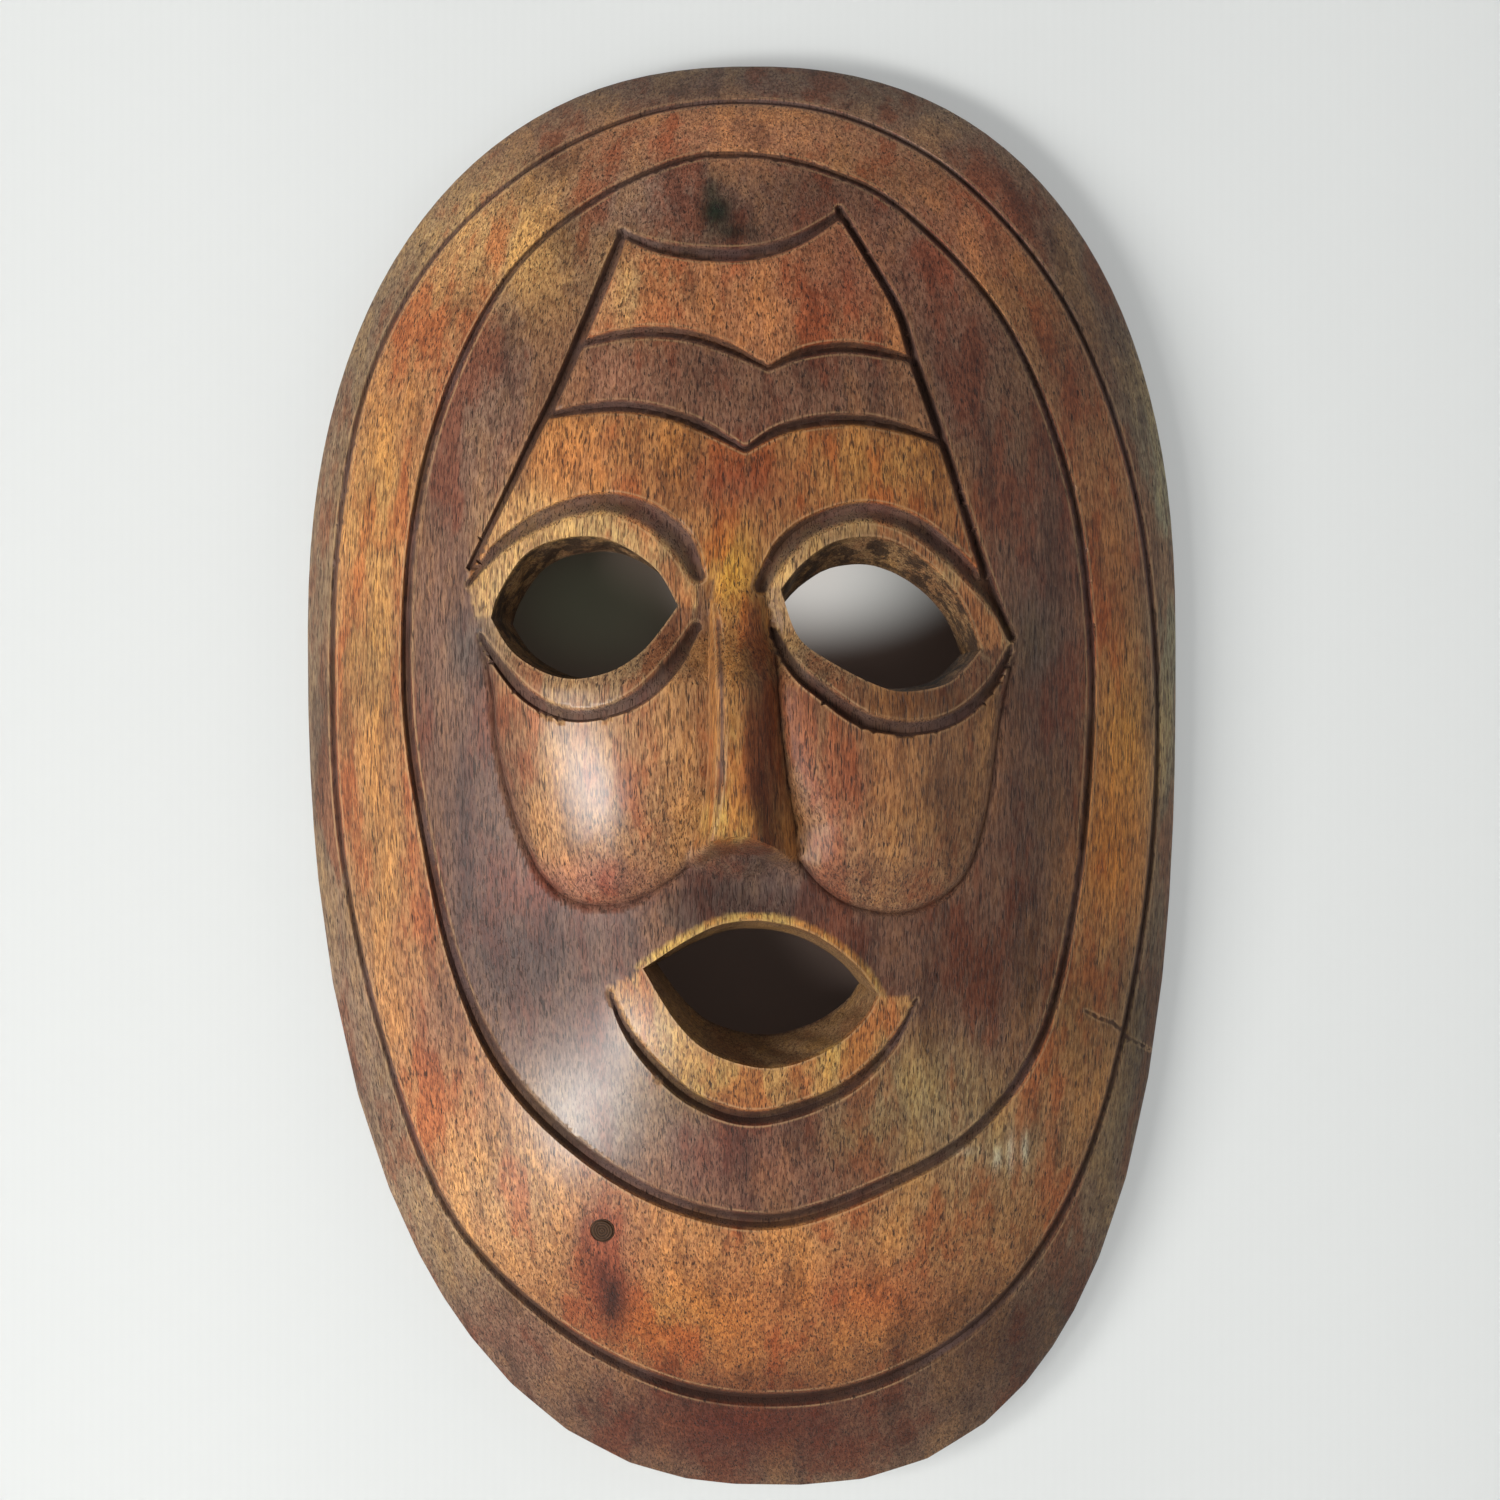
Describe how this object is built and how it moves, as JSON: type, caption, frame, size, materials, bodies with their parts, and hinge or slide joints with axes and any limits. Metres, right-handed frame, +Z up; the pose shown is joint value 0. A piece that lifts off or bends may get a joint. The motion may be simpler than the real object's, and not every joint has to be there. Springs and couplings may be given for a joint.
{
  "type": "carved wooden wall mask",
  "caption": "Oval carved wooden face mask with open eyes and mouth, ringed by carved grooves, hollow behind, with a swinging hanger ring.",
  "frame": {"origin": "the point on the wall where a nail carries the hanger ring, level with the flat back of the rim", "axes": "+Z up the mask from chin to forehead, +X to the viewer's right, +Y from the face to the wall"},
  "size_m": [0.2496, 0.0769, 0.408],
  "materials": {
    "carved_wood": "stained reddish brown hardwood, waxed and rubbed to a soft gloss",
    "knot_wood": "dark dead knot, matt",
    "zinc_steel": "zinc plated strap",
    "ring_steel": "zinc plated round wire",
    "screw_steel": "zinc plated screw"
  },
  "bodies": {
    "mask": {"mask_body": "carved_wood", "knot_plug": "knot_wood", "hanger_plate": "zinc_steel", "hanger_screw_left": "screw_steel", "hanger_screw_right": "screw_steel"},
    "ring": {"hanger_ring": "ring_steel"}
  },
  "joints": [
    {"name": "ring_swing", "type": "hinge", "parent": "mask", "child": "ring", "pos_m": [0, -0.0025, -0.0125], "axis": [1, 0, 0], "range_deg": [0, 180]}
  ]
}
